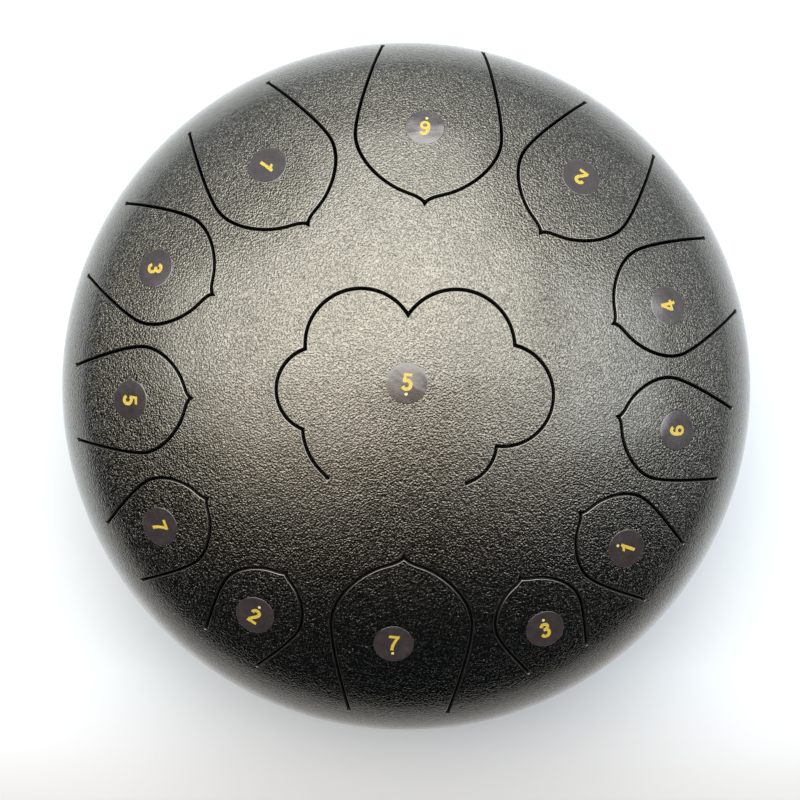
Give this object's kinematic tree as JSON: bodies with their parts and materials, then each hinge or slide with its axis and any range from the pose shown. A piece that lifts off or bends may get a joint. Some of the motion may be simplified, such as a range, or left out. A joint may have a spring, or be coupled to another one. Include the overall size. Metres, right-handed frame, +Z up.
{
  "type": "steel tongue drum",
  "caption": "Round steel tongue drum: two domed shells welded at the rim, petal-shaped sprung tongues around a lobed centre tongue, note stickers, rubber feet.",
  "frame": {"origin": "centre of the drum on the plane that the three feet stand on", "axes": "+Z up along the drum axis, +Y from the centre towards the low 6 tongue, +X towards the 4 and 6 tongues"},
  "size_m": [0.3058, 0.3058, 0.1552],
  "materials": {
    "hammered_paint": "glossy hammered pewter-black paint",
    "sticker_vinyl": "semi-gloss translucent grey vinyl with yellow digits",
    "foot_rubber": "matt black rubber",
    "zinc_steel": "zinc plated"
  },
  "bodies": {
    "drum_body": {"top_shell": "hammered_paint", "bottom_shell": "hammered_paint", "rim_weld": "hammered_paint", "foot_a": "foot_rubber", "foot_b": "foot_rubber", "foot_c": "foot_rubber", "foot_bushings": "foot_rubber", "foot_screws": "zinc_steel", "foot_washers": "zinc_steel", "foot_nuts": "zinc_steel"},
    "tongue_low_5_body": {"tongue_low_5": "hammered_paint", "sticker_low_5": "sticker_vinyl"},
    "tongue_low_6_body": {"tongue_low_6": "hammered_paint", "sticker_low_6": "sticker_vinyl"},
    "tongue_low_7_body": {"tongue_low_7": "hammered_paint", "sticker_low_7": "sticker_vinyl"},
    "tongue_1_body": {"tongue_1": "hammered_paint", "sticker_1": "sticker_vinyl"},
    "tongue_2_body": {"tongue_2": "hammered_paint", "sticker_2": "sticker_vinyl"},
    "tongue_3_body": {"tongue_3": "hammered_paint", "sticker_3": "sticker_vinyl"},
    "tongue_4_body": {"tongue_4": "hammered_paint", "sticker_4": "sticker_vinyl"},
    "tongue_5_body": {"tongue_5": "hammered_paint", "sticker_5": "sticker_vinyl"},
    "tongue_6_body": {"tongue_6": "hammered_paint", "sticker_6": "sticker_vinyl"},
    "tongue_7_body": {"tongue_7": "hammered_paint", "sticker_7": "sticker_vinyl"},
    "tongue_high_1_body": {"tongue_high_1": "hammered_paint", "sticker_high_1": "sticker_vinyl"},
    "tongue_high_2_body": {"tongue_high_2": "hammered_paint", "sticker_high_2": "sticker_vinyl"},
    "tongue_high_3_body": {"tongue_high_3": "hammered_paint", "sticker_high_3": "sticker_vinyl"}
  },
  "joints": [
    {"name": "flex_low_5", "type": "hinge", "parent": "drum_body", "child": "tongue_low_5_body", "pos_m": [-0.0043, -0.0404, 0.15106], "axis": [0.9992, -0.0397, 0], "range_deg": [-1, 1], "stiffness_Nm_per_rad": 260},
    {"name": "flex_low_6", "type": "hinge", "parent": "drum_body", "child": "tongue_low_6_body", "pos_m": [0.01142, 0.14505, 0.10473], "axis": [-0.9981, 0.0611, 0], "range_deg": [-1, 1], "stiffness_Nm_per_rad": 190},
    {"name": "flex_low_7", "type": "hinge", "parent": "drum_body", "child": "tongue_low_7_body", "pos_m": [-0.00364, -0.13895, 0.1136], "axis": [0.9995, -0.0314, 0], "range_deg": [-1, 1], "stiffness_Nm_per_rad": 160},
    {"name": "flex_1", "type": "hinge", "parent": "drum_body", "child": "tongue_1_body", "pos_m": [-0.07614, 0.11725, 0.1128], "axis": [-0.8358, -0.549, 0], "range_deg": [-1, 1], "stiffness_Nm_per_rad": 160},
    {"name": "flex_2", "type": "hinge", "parent": "drum_body", "child": "tongue_2_body", "pos_m": [0.09128, 0.10878, 0.11026], "axis": [-0.7965, 0.6046, 0], "range_deg": [-1, 1], "stiffness_Nm_per_rad": 160},
    {"name": "flex_3", "type": "hinge", "parent": "drum_body", "child": "tongue_3_body", "pos_m": [-0.12808, 0.06109, 0.11046], "axis": [-0.4756, -0.8797, 0], "range_deg": [-1, 1], "stiffness_Nm_per_rad": 140},
    {"name": "flex_4", "type": "hinge", "parent": "drum_body", "child": "tongue_4_body", "pos_m": [0.13379, 0.04607, 0.11098], "axis": [-0.421, 0.907, 0], "range_deg": [-1, 1], "stiffness_Nm_per_rad": 150},
    {"name": "flex_5", "type": "hinge", "parent": "drum_body", "child": "tongue_5_body", "pos_m": [-0.13974, -0.00855, 0.11278], "axis": [0.0209, -0.9998, 0], "range_deg": [-1, 1], "stiffness_Nm_per_rad": 140},
    {"name": "flex_6", "type": "hinge", "parent": "drum_body", "child": "tongue_6_body", "pos_m": [0.1335, -0.02595, 0.11668], "axis": [0.2215, 0.9751, 0], "range_deg": [-1, 1], "stiffness_Nm_per_rad": 150},
    {"name": "flex_7", "type": "hinge", "parent": "drum_body", "child": "tongue_7_body", "pos_m": [-0.11906, -0.07154, 0.11401], "axis": [0.527, -0.8499, 0], "range_deg": [-1, 1], "stiffness_Nm_per_rad": 120},
    {"name": "flex_high_1", "type": "hinge", "parent": "drum_body", "child": "tongue_high_1_body", "pos_m": [0.10748, -0.07953, 0.11853], "axis": [0.5621, 0.8271, 0], "range_deg": [-1, 1], "stiffness_Nm_per_rad": 150},
    {"name": "flex_high_2", "type": "hinge", "parent": "drum_body", "child": "tongue_high_2_body", "pos_m": [-0.07335, -0.11082, 0.11913], "axis": [0.8049, -0.5934, 0], "range_deg": [-1, 1], "stiffness_Nm_per_rad": 120},
    {"name": "flex_high_3", "type": "hinge", "parent": "drum_body", "child": "tongue_high_3_body", "pos_m": [0.0627, -0.11548, 0.12014], "axis": [0.9026, 0.4305, 0], "range_deg": [-1, 1], "stiffness_Nm_per_rad": 140}
  ]
}
